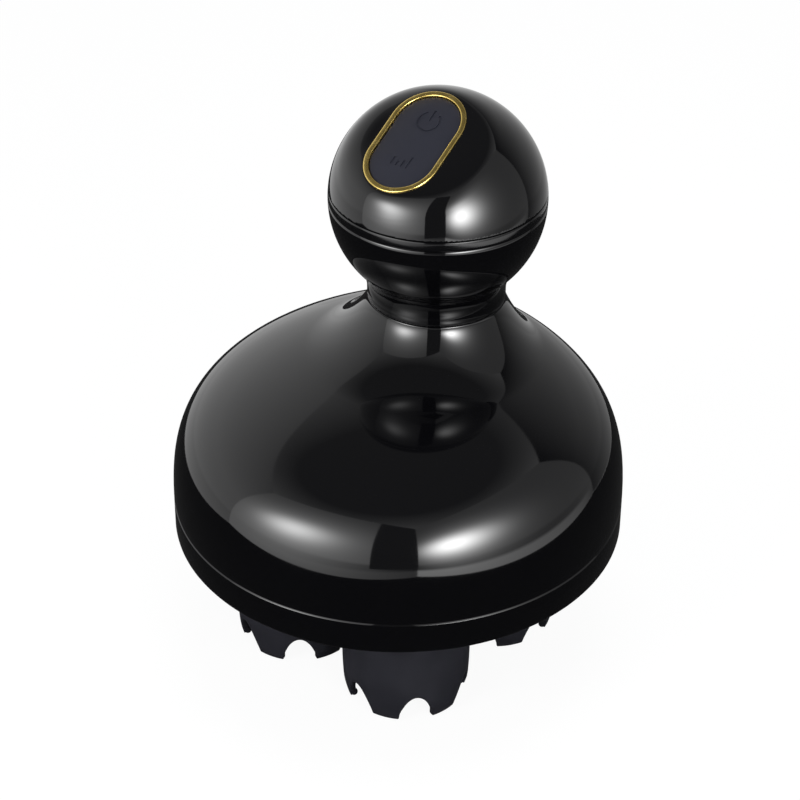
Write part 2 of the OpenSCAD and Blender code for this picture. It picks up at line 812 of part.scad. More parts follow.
module gear_plate() {
    color("#c4c6ca") difference() {
        union() {
            rod(2 * plate_r, gear_plate_z, gear_plate_top);
            at_points(post_at) rod(post_d, gear_plate_z, motor_plate_z);
        }
        rod(sun_hub_d + 1, gear_plate_z - 1, gear_plate_top + 1);
        at_claws() rod(bush_d, gear_plate_z - 1, gear_plate_top + 1);
        translate([0, double_y, 0]) rod(double_axle_d, gear_plate_z - 1, gear_plate_top + 1);
        at_points(post_at) rod(long_screw_d + screw_slack, gear_plate_z - 1, motor_plate_z + 1);
    }
}

module motor_plate() {
    color("#c4c6ca") difference() {
        union() {
            rod(2 * plate_r, motor_plate_z, motor_plate_top);
            at_points(stand_at) rod(stand_d, motor_plate_z, board_z);
        }
        rod(sun_axle_d, motor_plate_z - 1, motor_plate_top + 1);
        translate([0, double_y, 0]) rod(double_axle_d, motor_plate_z - 1, motor_plate_top + 1);
        translate([0, motor_y, 0]) rod(2 * shaft_d + 1, motor_plate_z - 1, motor_plate_top + 1);
        at_points(post_at) rod(long_screw_d + screw_slack, motor_plate_z - 1, motor_plate_top + 1);
        at_points(stand_at) rod(board_screw_d, motor_plate_z - 1, board_z + 1);
    }
}

module gearbox_screws() {
    color("#8c8c90") at_points(post_at)
        screw(long_screw_d, screw_head_d, screw_head_t, gear_plate_z - screw_bite, motor_plate_top);
}

module sun_axle() {
    color("#d5d8dc") rod(sun_axle_d, floor_z, motor_plate_top);
}

module sun_gear() {
    color("#e9e4d6") difference() {
        union() {
            gear(sun_teeth, claw_module, claw_gear_z, claw_gear_z + claw_gear_t, 0);
            rod(sun_hub_d, claw_gear_z, drive_z + joined);
            gear(drive_teeth, drive_module, drive_z, drive_z + drive_t, 0);
        }
        rod(sun_axle_d + 2 * run_fit, claw_gear_z - 1, drive_z + drive_t + 1);
    }
}

module double_axle() {
    color("#d5d8dc") translate([0, double_y, 0]) rod(double_axle_d, gear_plate_z, motor_plate_top);
}

module double_gear() {
    color("#e9e4d6") translate([0, double_y, 0]) difference() {
        union() {
            gear(double_small_teeth, drive_module, double_bottom, double_z + joined, double_turn);
            gear(double_large_teeth, motor_module, double_z, double_z + double_t, double_turn);
        }
        rod(double_axle_d + 2 * run_fit, double_bottom - 1, double_z + double_t + 1);
    }
}

module lower_bushes() {
    color("#b07a3a") at_claws()
        collar(bush_d, spindle_d + 2 * run_fit, rim_z, floor_top + bush_up);
}

module upper_bushes() {
    color("#b07a3a") at_claws()
        collar(bush_d, spindle_d + 2 * run_fit, gear_plate_z, gear_plate_top);
}

module spindle_seals() {
    color("#1a1a1a") at_claws() collar(bush_d, spindle_d + 2 * run_fit, rim_z - boss_drop, rim_z);
}

module claw_gear(k) {
    color("#e9e4d6") at_claw(k) difference() {
        gear(claw_teeth, claw_module, claw_gear_z, claw_gear_z + claw_gear_t,
            mesh_turn(claw_angle[k], 0, sun_teeth, claw_teeth));
        rod(spindle_d, claw_gear_z - 1, claw_gear_z + claw_gear_t + 1);
    }
}

// Steel spindle: round in its bushes, six-sided where the claw is pushed on
module spindle(k) {
    collar_top = rim_z - boss_drop - collar_gap;
    color("#d5d8dc") at_claw(k) {
        rod(spindle_d, rim_z - hex_top, gear_plate_top - 0.1);
        rod(collar_d, collar_top - collar_t, collar_top);
        rotate([0, 0, petal_turn[k]]) translate([0, 0, rim_z - hex_bottom])
            cylinder(d = hex_d, h = hex_bottom - hex_top + joined, $fn = 6);
    }
}

// ---- Claws ----

// Hard core of a claw, with its socket for the spindle
module claw_hub(k) {
    top = rim_z - claw_top;
    lid_low = top - claw_lid;
    color("#3a3b40") at_claw(k) difference() {
        union() {
            rod(hub_d, rim_z - hub_bottom, top + hub_cap_t);
            rod(hub_cap_d, top, top + hub_cap_t);
            rod(hub_flange_d, lid_low - hub_flange_t, lid_low);
        }
        rod(spindle_d + 2 * hex_fit, rim_z - hex_top - hex_fit, top + hub_cap_t + 1);
        rotate([0, 0, petal_turn[k]]) translate([0, 0, rim_z - hex_bottom - hex_space])
            cylinder(d = hex_d + 2 * hex_fit, h = hex_bottom, $fn = 6);
    }
}

// Half outline of a claw, set in by a depth: round shoulder, straight side, lower edge drawn in
module claw_outline(depth, top) {
    r = claw_r - depth;
    shoulder = claw_shoulder - min(depth, claw_shoulder - 1);
    translate([r - shoulder, top - shoulder]) circle(shoulder);
    translate([0, claw_waist]) square([r, top - shoulder - claw_waist]);
    square([r - shoulder, top]);
    intersection() {
        translate([claw_r - claw_curl, claw_waist]) circle(claw_curl - depth);
        square([claw_r, claw_waist + joined]);
    }
}

module claw(k) {
    top = rim_z - claw_top;
    step = 360 / petals;
    nub_step = 9.8;
    arch_sides = 16;
    edge_r = claw_r - claw_curl + sqrt(pow(claw_curl, 2) - pow(claw_waist, 2)) - claw_wall / 2;
    color("#2a2b31") at_claw(k) rotate([0, 0, petal_turn[k]]) {
        difference() {
            rotate_extrude() difference() {
                claw_outline(0, top);
                claw_outline(claw_wall, top - claw_lid);
                square([2 * claw_r, nub_d / 2 - 0.1]);
                square([hub_d / 2, top + 1]);
            }
            for (i = [0:petals - 1]) rotate([0, 0, (i + 0.5) * step]) rotate([90, 0, 90]) {
                linear_extrude(2 * claw_r) polygon([
                    [-arch_w / 2, -1],
                    for (j = [0:arch_sides]) let (a = 180 * j / arch_sides)
                        [-arch_w / 2 * cos(a), arch_h * pow(sin(a), 4 / 3)],
                    [arch_w / 2, -1]
                ]);
            }
        }
        for (i = [0:petals - 1], j = [-1:1]) rotate([0, 0, i * step + j * nub_step])
            translate([edge_r, 0, nub_d / 2]) sphere(d = nub_d, $fn = 24);
    }
}

base_ring();
dome_shell();
dome_frame();
base_screws();
base_seal();
neck_shell();
neck_nut();
neck_seal();
knob_band();
knob_cap();
trim_ring();
keypad_mat();
power_key();
mode_key();
power_pill();
mode_pill();
key_board();
key_board_screws();
key_ribbon();
battery_cradle();
battery_cell();
battery_leads();
main_board();
board_parts();
board_screws();
charge_contacts();
charge_leads();
motor_can();
motor_leads();
motor_pinion();
gear_plate();
motor_plate();
gearbox_screws();
sun_axle();
sun_gear();
double_axle();
double_gear();
lower_bushes();
upper_bushes();
spindle_seals();
claw_gear(0);  // claw_gear_1
claw_gear(1);  // claw_gear_2
claw_gear(2);  // claw_gear_3
claw_gear(3);  // claw_gear_4
spindle(0);  // spindle_1
spindle(1);  // spindle_2
spindle(2);  // spindle_3
spindle(3);  // spindle_4
claw_hub(0);  // claw_hub_1
claw_hub(1);  // claw_hub_2
claw_hub(2);  // claw_hub_3
claw_hub(3);  // claw_hub_4
claw(0);  // claw_1
claw(1);  // claw_2
claw(2);  // claw_3
claw(3);  // claw_4
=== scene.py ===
import bmesh
import bpy
import json
import math
from mathutils import Matrix, Vector


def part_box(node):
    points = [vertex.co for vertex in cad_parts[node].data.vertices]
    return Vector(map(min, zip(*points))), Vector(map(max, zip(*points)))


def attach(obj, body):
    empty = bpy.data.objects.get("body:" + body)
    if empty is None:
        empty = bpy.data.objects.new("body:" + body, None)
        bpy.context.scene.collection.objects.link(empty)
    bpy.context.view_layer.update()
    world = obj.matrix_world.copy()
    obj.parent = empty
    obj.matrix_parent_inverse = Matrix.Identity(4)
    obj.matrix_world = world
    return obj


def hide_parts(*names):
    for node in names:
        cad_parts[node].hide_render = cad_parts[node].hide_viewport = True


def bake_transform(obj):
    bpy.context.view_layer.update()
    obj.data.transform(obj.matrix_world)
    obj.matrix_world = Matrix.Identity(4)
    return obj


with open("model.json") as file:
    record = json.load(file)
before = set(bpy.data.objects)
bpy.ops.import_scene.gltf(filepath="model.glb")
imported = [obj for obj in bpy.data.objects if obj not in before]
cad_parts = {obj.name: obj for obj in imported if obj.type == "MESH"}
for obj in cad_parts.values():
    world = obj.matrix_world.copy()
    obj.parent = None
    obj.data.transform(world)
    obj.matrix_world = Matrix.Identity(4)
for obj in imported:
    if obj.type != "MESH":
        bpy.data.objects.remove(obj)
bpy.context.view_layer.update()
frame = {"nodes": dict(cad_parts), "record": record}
nodes = frame["nodes"]
print("frame loaded:", len(nodes), "solids")

# Levels and radii shared by several pieces, in mm
body = {"radius": 56.3, "wall": 2.2, "rimZ": 35.0, "seamZ": 43.7, "seamGap": 0.35, "neckZ": 92.5}
grip = {"back": 15.8, "ballRadius": 26.4, "ballZ": 119.1, "neckRadius": 17.0, "neckRise": 2.0,
        "bandLow": -0.3, "bandHigh": 2.1}
pad = {"tilt": 28.0, "out": 21.1, "length": 29.9, "width": 19.2, "trim": 1.3, "proud": 0.5, "sunk": 1.2}
padPlace = (Matrix.Translation((0, grip["back"], grip["ballZ"])) @ Matrix.Rotation(math.radians(pad["tilt"]), 4, "X")
            @ Matrix.Translation((0, 0, pad["out"])))


def linearColour(hexText):
    values = [int(hexText[i:i + 2], 16) / 255 for i in (1, 3, 5)]
    return [v / 12.92 if v <= 0.04045 else ((v + 0.055) / 1.055) ** 2.4 for v in values] + [1.0]


def addNode(tree, kind, inputs=None, **settings):
    node = tree.nodes.new(kind)
    for key, value in settings.items():
        setattr(node, key, value)
    for key, value in (inputs or {}).items():
        if isinstance(value, bpy.types.NodeSocket):
            tree.links.new(value, node.inputs[key])
        else:
            node.inputs[key].default_value = value
    return node


def spun(profile, steps, closed=False):
    mesh = bmesh.new()
    verts = [mesh.verts.new((r, 0, z)) for r, z in profile]
    edges = [mesh.edges.new(pair) for pair in zip(verts, verts[1:])]
    if closed:
        edges.append(mesh.edges.new((verts[-1], verts[0])))
    bmesh.ops.spin(mesh, geom=verts + edges, cent=(0, 0, 0), axis=(0, 0, 1), angle=math.tau, steps=steps,
                   use_merge=True)
    bmesh.ops.remove_doubles(mesh, verts=mesh.verts, dist=1e-4)
    bmesh.ops.recalc_face_normals(mesh, faces=mesh.faces)
    return mesh


def filleted(points, steps=4):
    # Each point is (r, z) or (r, z, fillet radius)
    path = []
    for i, p in enumerate(points):
        here = Vector(p[:2])
        if len(p) < 3:
            path.append(tuple(here))
            continue
        before = (Vector(points[i - 1][:2]) - here).normalized()
        after = (Vector(points[(i + 1) % len(points)][:2]) - here).normalized()
        half = before.angle(after) / 2
        middle = here + (before + after).normalized() * p[2] / math.sin(half)
        start = here + before * p[2] / math.tan(half) - middle
        end = here + after * p[2] / math.tan(half) - middle
        turn = start.angle_signed(end)
        for k in range(steps + 1):
            path.append(tuple(middle + Matrix.Rotation(-turn * k / steps, 2) @ start))
    return path


def pieceFrom(mesh, name, material, bodyName, replaced=(), sharp=32):
    bmesh.ops.transform(mesh, matrix=Matrix.Scale(0.001, 4), verts=mesh.verts)
    data = bpy.data.meshes.new(name)
    mesh.to_mesh(data)
    mesh.free()
    data.shade_smooth()
    data.set_sharp_from_angle(angle=math.radians(sharp))
    piece = bpy.data.objects.new(name, data)
    bpy.context.scene.collection.objects.link(piece)
    data.materials.append(material)
    if bodyName:
        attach(piece, bodyName)
    if replaced:
        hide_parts(*replaced)
    return piece


cameraLook = {"place": (0.27682, -0.39534, 0.39147), "aim": (0.000265, 0.000186, 0.069057),   # metres
              "roll": -0.398, "lens": 106.09}   # degrees, mm
cameraData = bpy.data.cameras.new("camera")
camera = bpy.data.objects.new("camera", cameraData)
bpy.context.scene.collection.objects.link(camera)
cameraData.lens = cameraLook["lens"]
camera.location = cameraLook["place"]
aim = (Vector(cameraLook["aim"]) - Vector(cameraLook["place"])).to_track_quat("-Z", "Y")
camera.rotation_mode = "QUATERNION"
camera.rotation_quaternion = aim @ Matrix.Rotation(math.radians(-cameraLook["roll"]), 3, "Z").to_quaternion()
bpy.context.scene.camera = camera
bpy.context.scene.view_settings.view_transform = "Standard"

worldLook = {"background": "#ffffff", "fill": "#eef0f4", "fillStrength": 0.35}
world = bpy.data.worlds.new("studio")
bpy.context.scene.world = world
world.use_nodes = True
tree = world.node_tree
tree.nodes.clear()
path = addNode(tree, "ShaderNodeLightPath")
sees = addNode(tree, "ShaderNodeMath", {0: path.outputs["Is Camera Ray"], 1: path.outputs["Is Glossy Ray"]},
               operation="MAXIMUM")
sees = addNode(tree, "ShaderNodeMath", {0: sees.outputs[0], 1: path.outputs["Is Transmission Ray"]},
               operation="MAXIMUM")
white = addNode(tree, "ShaderNodeBackground", {"Color": linearColour(worldLook["background"]), "Strength": 1.0})
fill = addNode(tree, "ShaderNodeBackground", {"Color": linearColour(worldLook["fill"]),
                                              "Strength": worldLook["fillStrength"]})
mixed = addNode(tree, "ShaderNodeMixShader", {0: sees.outputs[0], 1: fill.outputs[0], 2: white.outputs[0]})
addNode(tree, "ShaderNodeOutputWorld", {"Surface": mixed.outputs[0]})

# A small light tent of white cloth, which only the gloss shows, in metres. Each wall has its levels at the left and
# right end, seen from inside: over the seam near its foot, under it, and on it. fade is what is left at the roof, and
# a spot is a lamp behind the cloth: across, height, half width, half height, peak
tent = {
    "middle": (-0.0125, -0.0025), "width": 0.505, "height": 0.42, "fadeFrom": 0.18,
    "seamLow": 0.04, "seamHigh": 0.07, "soft": 0.012,
    "walls": {
        "front": {"at": (-0.0125, -0.255), "faces": (0, 1), "levels": (0.8, 1.2), "low": (0.45, 1.2),
                  "seam": (0.08, 1.2), "fade": 0.6,
                  "spots": [(0.052, 0.165, 0.05, 0.038, 10.0), (0.05, 0.15, 0.1, 0.09, 2.3)]},
        "back": {"at": (-0.0125, 0.25), "faces": (0, -1), "levels": (1.05, 0.12), "low": (0.9, 0.1),
                 "seam": (0.9, 0.1), "fade": 0.2, "spots": []},
        "left": {"at": (-0.265, -0.0025), "faces": (1, 0), "levels": (0.95, 1.1), "low": (0.8, 0.95),
                 "seam": (0.8, 1.0), "fade": 0.5, "spots": []},
        "right": {"at": (0.24, -0.0025), "faces": (-1, 0), "levels": (0.4, 0.5), "low": (0.3, 2.6),
                  "seam": (0.4, 0.1), "fade": 1.0,
                  "spots": [(0.14, 0.158, 0.052, 0.038, 23.0), (0.13, 0.16, 0.085, 0.085, 2.6)]},
    },
    "roof": {"middle": 0.11, "edge": 0.6, "from": 0.19, "to": 0.36},
    "base": {"height": -0.001, "level": 0.03},
    "slit": {"left": 0.108, "right": 0.245, "foot": 0.045, "at": -0.252, "level": 0.1},   # dark gap at the corner
}


def glowMaterial(name):
    material = bpy.data.materials.new(name)
    material.use_nodes = True
    tree = material.node_tree
    tree.nodes.clear()
    glow = addNode(tree, "ShaderNodeEmission", {"Color": (1, 1, 1, 1)})
    addNode(tree, "ShaderNodeOutputMaterial", {"Surface": glow.outputs[0]})
    return material, tree, addNode(tree, "ShaderNodeTexCoord").outputs["Object"], glow.inputs["Strength"]


def stagePanel(name, place, faces, width, height, material):
    data = bpy.data.meshes.new(name)
    mesh = bmesh.new()
    bmesh.ops.create_grid(mesh, x_segments=1, y_segments=1, size=0.5)
    bmesh.ops.scale(mesh, vec=(width, height, 1), verts=mesh.verts)
    mesh.to_mesh(data)
    mesh.free()
    data.materials.append(material)
    panel = bpy.data.objects.new(name, data)
    bpy.context.scene.collection.objects.link(panel)
    panel.location = place
    panel.rotation_euler = Vector(faces).to_track_quat("Z", "Y").to_euler()
    for ray in ("camera", "diffuse", "transmission", "volume_scatter", "shadow"):
        setattr(panel, "visible_" + ray, False)


def ends(tree, value, half, pair):
    return addNode(tree, "ShaderNodeMapRange", {"Value": value, "From Min": -half, "From Max": half,
                                                "To Min": pair[0], "To Max": pair[1]}).outputs[0]


for name, look in tent["walls"].items():
    material, tree, place, strength = glowMaterial("tent_cloth_" + name)
    across = addNode(tree, "ShaderNodeSeparateXYZ", {0: place})
    half, up = tent["width"] / 2, tent["height"] / 2
    fade = addNode(tree, "ShaderNodeMapRange", {"Value": across.outputs[1], "From Min": tent["fadeFrom"] - up,
                                                "From Max": up, "To Min": 1.0, "To Max": look["fade"]})
    level = addNode(tree, "ShaderNodeMath", {0: ends(tree, across.outputs[0], half, look["levels"]),
                                             1: fade.outputs[0]}, operation="MULTIPLY").outputs[0]
    for height, pair in ((tent["seamHigh"], look["seam"]), (tent["seamLow"], look["low"])):
        over = addNode(tree, "ShaderNodeMapRange", {"Value": across.outputs[1],
                                                    "From Min": height - tent["soft"] - up,
                                                    "From Max": height - up})
        level = addNode(tree, "ShaderNodeMix", {0: over.outputs[0], 2: ends(tree, across.outputs[0], half, pair),
                                                3: level}).outputs[0]
    for x, z, wide, tall, peak in look["spots"]:
        # A bright patch that fades out softly
        shift = addNode(tree, "ShaderNodeVectorMath", {0: place, 1: (x, z - up, 0)}, operation="SUBTRACT")
        scaled = addNode(tree, "ShaderNodeVectorMath", {0: shift.outputs[0], 1: (wide, tall, 1)}, operation="DIVIDE")
        square = addNode(tree, "ShaderNodeVectorMath", {0: scaled.outputs[0], 1: scaled.outputs[0]},
                         operation="DOT_PRODUCT")
        minus = addNode(tree, "ShaderNodeMath", {0: square.outputs["Value"], 1: -0.5}, operation="MULTIPLY")
        curve = addNode(tree, "ShaderNodeMath", {0: math.e, 1: minus.outputs[0]}, operation="POWER")
        level = addNode(tree, "ShaderNodeMath", {0: curve.outputs[0], 1: peak, 2: level},
                        operation="MULTIPLY_ADD").outputs[0]
    tree.links.new(level, strength)
    stagePanel("tent_" + name, (*look["at"], up), (*look["faces"], 0), tent["width"], tent["height"], material)

material, tree, place, strength = glowMaterial("tent_cloth_roof")
out = addNode(tree, "ShaderNodeVectorMath", {0: place}, operation="LENGTH")
roof = tent["roof"]
level = addNode(tree, "ShaderNodeMapRange", {"Value": out.outputs["Value"], "From Min": roof["from"],
                                             "From Max": roof["to"], "To Min": roof["middle"],
                                             "To Max": roof["edge"]})
tree.links.new(level.outputs[0], strength)
stagePanel("tent_roof", (*tent["middle"], tent["height"]), (0, 0, -1), tent["width"], tent["width"], material)
slit = tent["slit"]
slitMiddle = ((slit["left"] + slit["right"]) / 2, slit["at"], (slit["foot"] + tent["height"]) / 2)
for name, place, faces, width, height, level in (
        ("tent_base", (*tent["middle"], tent["base"]["height"]), (0, 0, 1), tent["width"], tent["width"],
         tent["base"]["level"]),
        ("tent_slit", slitMiddle, (0, 1, 0), slit["right"] - slit["left"], tent["height"] - slit["foot"],
         slit["level"])):
    material, tree, coords, strength = glowMaterial(name + "_cloth")
    strength.default_value = level
    stagePanel(name, place, faces, width, height, material)

lamps = {
    "lampLeft": {"at": (-0.15, -0.62, 0.42), "size": 0.3, "watts": 2.0},
    "lampRight": {"at": (0.6, -0.32, 0.4), "size": 0.3, "watts": 2.0},
    "lampTop": {"at": (0.0, 0.1, 0.8), "size": 0.5, "watts": 2.2},
}
lampAim = Vector((0, 0, 0.08))
for name, look in lamps.items():
    lamp = bpy.data.lights.new(name, "AREA")
    lamp.shape = "DISK"
    lamp.size = look["size"]
    lamp.energy = look["watts"]
    box = bpy.data.objects.new(name, lamp)
    bpy.context.scene.collection.objects.link(box)
    box.location = look["at"]
    box.rotation_euler = (lampAim - box.location).to_track_quat("-Z", "Y").to_euler()
    box.visible_glossy = False   # the gloss shows the tent instead

floorLook = {"half": 3, "paint": "#c8c8c8", "glow": 1.1, "share": 0.85}   # share: of the glow, where the camera looks
floorData = bpy.data.meshes.new("floor")
floorMesh = bmesh.new()
bmesh.ops.create_grid(floorMesh, x_segments=2, y_segments=2, size=floorLook["half"])
floorMesh.to_mesh(floorData)
floorMesh.free()
floor = bpy.data.objects.new("floor", floorData)
bpy.context.scene.collection.objects.link(floor)
floor.visible_glossy = False   # the gloss shows the tent's dark base
floorPaint = bpy.data.materials.new("pale_studio_floor")
floorPaint.use_nodes = True
tree = floorPaint.node_tree
tree.nodes.clear()
path = addNode(tree, "ShaderNodeLightPath")
matt = addNode(tree, "ShaderNodeBsdfDiffuse", {"Color": linearColour(floorLook["paint"])})
glow = addNode(tree, "ShaderNodeEmission", {"Color": (1, 1, 1, 1), "Strength": floorLook["glow"]})
share = addNode(tree, "ShaderNodeMath", {0: path.outputs["Is Camera Ray"], 1: floorLook["share"]},
                operation="MULTIPLY")
mixed = addNode(tree, "ShaderNodeMixShader", {0: share.outputs[0], 1: matt.outputs[0], 2: glow.outputs[0]})
addNode(tree, "ShaderNodeOutputMaterial", {"Surface": mixed.outputs[0]})
floorData.materials.append(floorPaint)
print("camera, light and floor set")


def surfaceMaterial(name, look):
    # patch and grain are the sizes in mm of the slow changes and of the fine bumps, and bump is their height in mm
    material = bpy.data.materials.new(name)
    material.use_nodes = True
    tree = material.node_tree
    shader = tree.nodes["Principled BSDF"]
    place = addNode(tree, "ShaderNodeTexCoord")
    scale = addNode(tree, "ShaderNodeMapping", {"Vector": place.outputs["Object"],
                                                "Scale": look.get("stretch", (1, 1, 1))})
    wide = addNode(tree, "ShaderNodeTexNoise", {"Vector": scale.outputs[0], "Scale": 1000 / look["patch"],
                                                "Detail": 3.0})
    fine = addNode(tree, "ShaderNodeTexNoise", {"Vector": scale.outputs[0], "Scale": 1000 / look["grain"],
                                                "Detail": 2.0})
    colour = addNode(tree, "ShaderNodeMix", {0: wide.outputs[0], 6: linearColour(look["colour"][0]),
                                             7: linearColour(look["colour"][1])}, data_type="RGBA")
    tree.links.new(colour.outputs[2], shader.inputs["Base Color"])
    rough = addNode(tree, "ShaderNodeMapRange", {"Value": wide.outputs[0], "From Min": 0.3, "From Max": 0.7,
                                                 "To Min": look["rough"][0], "To Max": look["rough"][1]})
    tree.links.new(rough.outputs[0], shader.inputs["Roughness"])
    bump = addNode(tree, "ShaderNodeBump", {"Height": fine.outputs[0], "Distance": look["bump"] / 1000,
                                            "Strength": 1.0})
    tree.links.new(bump.outputs[0], shader.inputs["Normal"])
    shader.inputs["Metallic"].default_value = look.get("metallic", 0.0)
    if "ior" in look:
        shader.inputs["IOR"].default_value = look["ior"]
    return material


# Piano-black ABS, moulded against a polished tool: near-black, mirror gloss with a very slight waviness
pianoBlack = surfaceMaterial("abs_piano_black_polished", {
    "colour": ("#060608", "#08080a"), "patch": 18, "grain": 9, "rough": (0.035, 0.07), "bump": 0.002, "ior": 1.54})
# The same ABS on the narrow band, a little less polished: its highlights are slightly softer
bandBlack = surfaceMaterial("abs_black_band_moulded", {
    "colour": ("#08080a", "#0b0b0d"), "patch": 12, "grain": 4, "rough": (0.08, 0.13), "bump": 0.002, "ior": 1.54})
# Gold-plated steel ring, polished: warm yellow metal whose highlights are a little soft
goldPlate = surfaceMaterial("gold_plated_ring_polished", {
    "colour": ("#f0cf72", "#f6da86"), "patch": 3, "grain": 0.5, "rough": (0.2, 0.3), "bump": 0.002, "metallic": 1.0})
# Silicone keypad from a finely etched mould: blue-black and matt, with no clear reflection
padSilicone = surfaceMaterial("silicone_keypad_fine_matte", {
    "colour": ("#1d1e27", "#22232c"), "patch": 5, "grain": 0.25, "rough": (0.55, 0.65), "bump": 0.01, "ior": 1.41})
# Silicone claws, moulded: black-grey satin, faintly mottled
clawSilicone = surfaceMaterial("silicone_claw_satin", {
    "colour": ("#212127", "#28282f"), "patch": 6, "grain": 0.4, "rough": (0.38, 0.5), "bump": 0.012, "ior": 1.41})
# Glass-filled nylon hubs, moulded: dark grey with a dull, even shine
hubNylon = surfaceMaterial("nylon_hub_moulded", {
    "colour": ("#35363b", "#3c3d43"), "patch": 4, "grain": 0.3, "rough": (0.35, 0.45), "bump": 0.01, "ior": 1.53})
# Steel turned on a lathe: bright grey metal, its highlight drawn out along the axle
steelTurned = surfaceMaterial("steel_turned", {
    "colour": ("#c9ccd0", "#b9bcc0"), "patch": 5, "grain": 0.3, "rough": (0.2, 0.32), "bump": 0.004, "metallic": 1.0,
    "stretch": (1, 1, 8)})
# Nitrile rubber seals, moulded: black, with hardly any shine
rubberBlack = surfaceMaterial("nitrile_rubber_seal", {
    "colour": ("#19191b", "#202022"), "patch": 3, "grain": 0.3, "rough": (0.5, 0.6), "bump": 0.01, "ior": 1.52})
# Acetal gears, moulded: ivory white with a waxy half shine
acetalIvory = surfaceMaterial("acetal_gear_moulded", {
    "colour": ("#e6e0cf", "#ece7d8"), "patch": 8, "grain": 0.5, "rough": (0.32, 0.42), "bump": 0.005, "ior": 1.48})
# Turned brass: yellow metal with a soft highlight
brassTurned = surfaceMaterial("brass_turned", {
    "colour": ("#c79f4a", "#d3ac57"), "patch": 3, "grain": 0.3, "rough": (0.22, 0.34), "bump": 0.004, "metallic": 1.0})
# Steel with zinc plating: pale grey metal, slightly cloudy
zincPlate = surfaceMaterial("zinc_plated_steel", {
    "colour": ("#b9bcc0", "#a9acb2"), "patch": 9, "grain": 0.6, "rough": (0.28, 0.42), "bump": 0.005, "metallic": 1.0})
# ABS that stays inside, from an unpolished mould: dark grey and matt
absBlackMatt = surfaceMaterial("abs_black_inside_moulded", {
    "colour": ("#222326", "#28292c"), "patch": 10, "grain": 0.5, "rough": (0.4, 0.52), "bump": 0.01, "ior": 1.54})
# Glass epoxy board under solder resist: green, half glossy like varnish
boardGreen = surfaceMaterial("glass_epoxy_board_green", {
    "colour": ("#1b5735", "#21613b"), "patch": 6, "grain": 0.4, "rough": (0.3, 0.4), "bump": 0.006, "ior": 1.5})
# PVC shrink wrap round the cell: plain blue with a soft plastic shine
pvcWrap = surfaceMaterial("pvc_cell_wrap", {
    "colour": ("#2a62a8", "#2f69b2"), "patch": 8, "grain": 0.6, "rough": (0.25, 0.35), "bump": 0.004, "ior": 1.53})
# PVC lead covering, extruded: plain red, half matt
pvcLead = surfaceMaterial("pvc_lead_red", {
    "colour": ("#a81c1c", "#b52222"), "patch": 4, "grain": 0.4, "rough": (0.35, 0.45), "bump": 0.005, "ior": 1.53})
# Gold plating on the charging contacts: yellow, almost a mirror
goldContact = surfaceMaterial("gold_plated_contact", {
    "colour": ("#d9b25c", "#e2bd6a"), "patch": 2, "grain": 0.3, "rough": (0.15, 0.25), "bump": 0.002, "metallic": 1.0})
# Silicone filled with carbon, moulded: dull black
conductivePill = surfaceMaterial("carbon_silicone_pill", {
    "colour": ("#141414", "#1a1a1a"), "patch": 3, "grain": 0.3, "rough": (0.5, 0.6), "bump": 0.005, "ior": 1.41})
# Polyimide film of the ribbon: amber and smooth
polyimide = surfaceMaterial("polyimide_ribbon", {
    "colour": ("#b5691c", "#c07527"), "patch": 4, "grain": 0.4, "rough": (0.25, 0.35), "bump": 0.003, "ior": 1.7})
# Epoxy of the chips, moulded: dark grey, matt and slightly grainy
chipEpoxy = surfaceMaterial("epoxy_chip_matte", {
    "colour": ("#1c1c1e", "#242426"), "patch": 2, "grain": 0.2, "rough": (0.45, 0.6), "bump": 0.005, "ior": 1.55})

finishOf = {
    "base_ring": pianoBlack, "dome_shell": pianoBlack, "dome_frame": absBlackMatt, "base_screws": zincPlate,
    "base_seal": rubberBlack, "neck_shell": pianoBlack, "neck_nut": absBlackMatt, "neck_seal": rubberBlack,
    "knob_band": bandBlack, "knob_cap": pianoBlack, "trim_ring": goldPlate, "keypad_mat": padSilicone,
    "power_key": padSilicone, "mode_key": padSilicone, "power_pill": conductivePill, "mode_pill": conductivePill,
    "key_board": boardGreen, "key_board_screws": zincPlate, "key_ribbon": polyimide, "battery_cradle": absBlackMatt,
    "battery_cell": pvcWrap, "battery_leads": pvcLead, "main_board": boardGreen, "board_parts": chipEpoxy,
    "board_screws": zincPlate, "charge_contacts": goldContact, "charge_leads": pvcLead, "motor_can": zincPlate,
    "motor_leads": pvcLead, "motor_pinion": brassTurned, "gear_plate": zincPlate, "motor_plate": zincPlate,
    "gearbox_screws": zincPlate, "sun_axle": steelTurned, "sun_gear": acetalIvory, "double_axle": steelTurned,
    "double_gear": acetalIvory, "lower_bushes": brassTurned, "upper_bushes": brassTurned,
    "spindle_seals": rubberBlack,
}
for k in "1234":
    finishOf["claw_gear_" + k] = acetalIvory
    finishOf["spindle_" + k] = steelTurned
    finishOf["claw_hub_" + k] = hubNylon
    finishOf["claw_" + k] = clawSilicone
for name, solid in nodes.items():
    solid.data.materials.clear()
    solid.data.materials.append(finishOf[name])
print("materials set:", len(set(finishOf.values())))


domeLook = {"turnRadius": 30.0, "turnHeight": 35.0, "slope": 16.4, "wallPull": 17.0, "turnPull": 25.0,
            "hollowPull": 8.0, "neckPull": 2.2, "height": 48.8, "neckEdge": 0.3, "backPower": 1.1, "backShare": 0.35,
            "steps": 40, "sides": 240}


def cubic(p, t):
    return [(1 - t) ** 3 * p[0][i] + 3 * (1 - t) ** 2 * t * p[1][i] + 3 * (1 - t) * t * t * p[2][i] + t ** 3 * p[3][i]
            for i in (0, 1)]


def ringBack(r):
    # How far back the dome's ring of radius r lies, from none at the wall to the grip's place at the neck
    share = domeLook["backShare"]
    s = min(1, max(0, (body["radius"] - r) / (body["radius"] - grip["neckRadius"]))) ** domeLook["backPower"]
    return grip["back"] * (share * s + (1 - share) * (3 - 2 * s) * s * s)


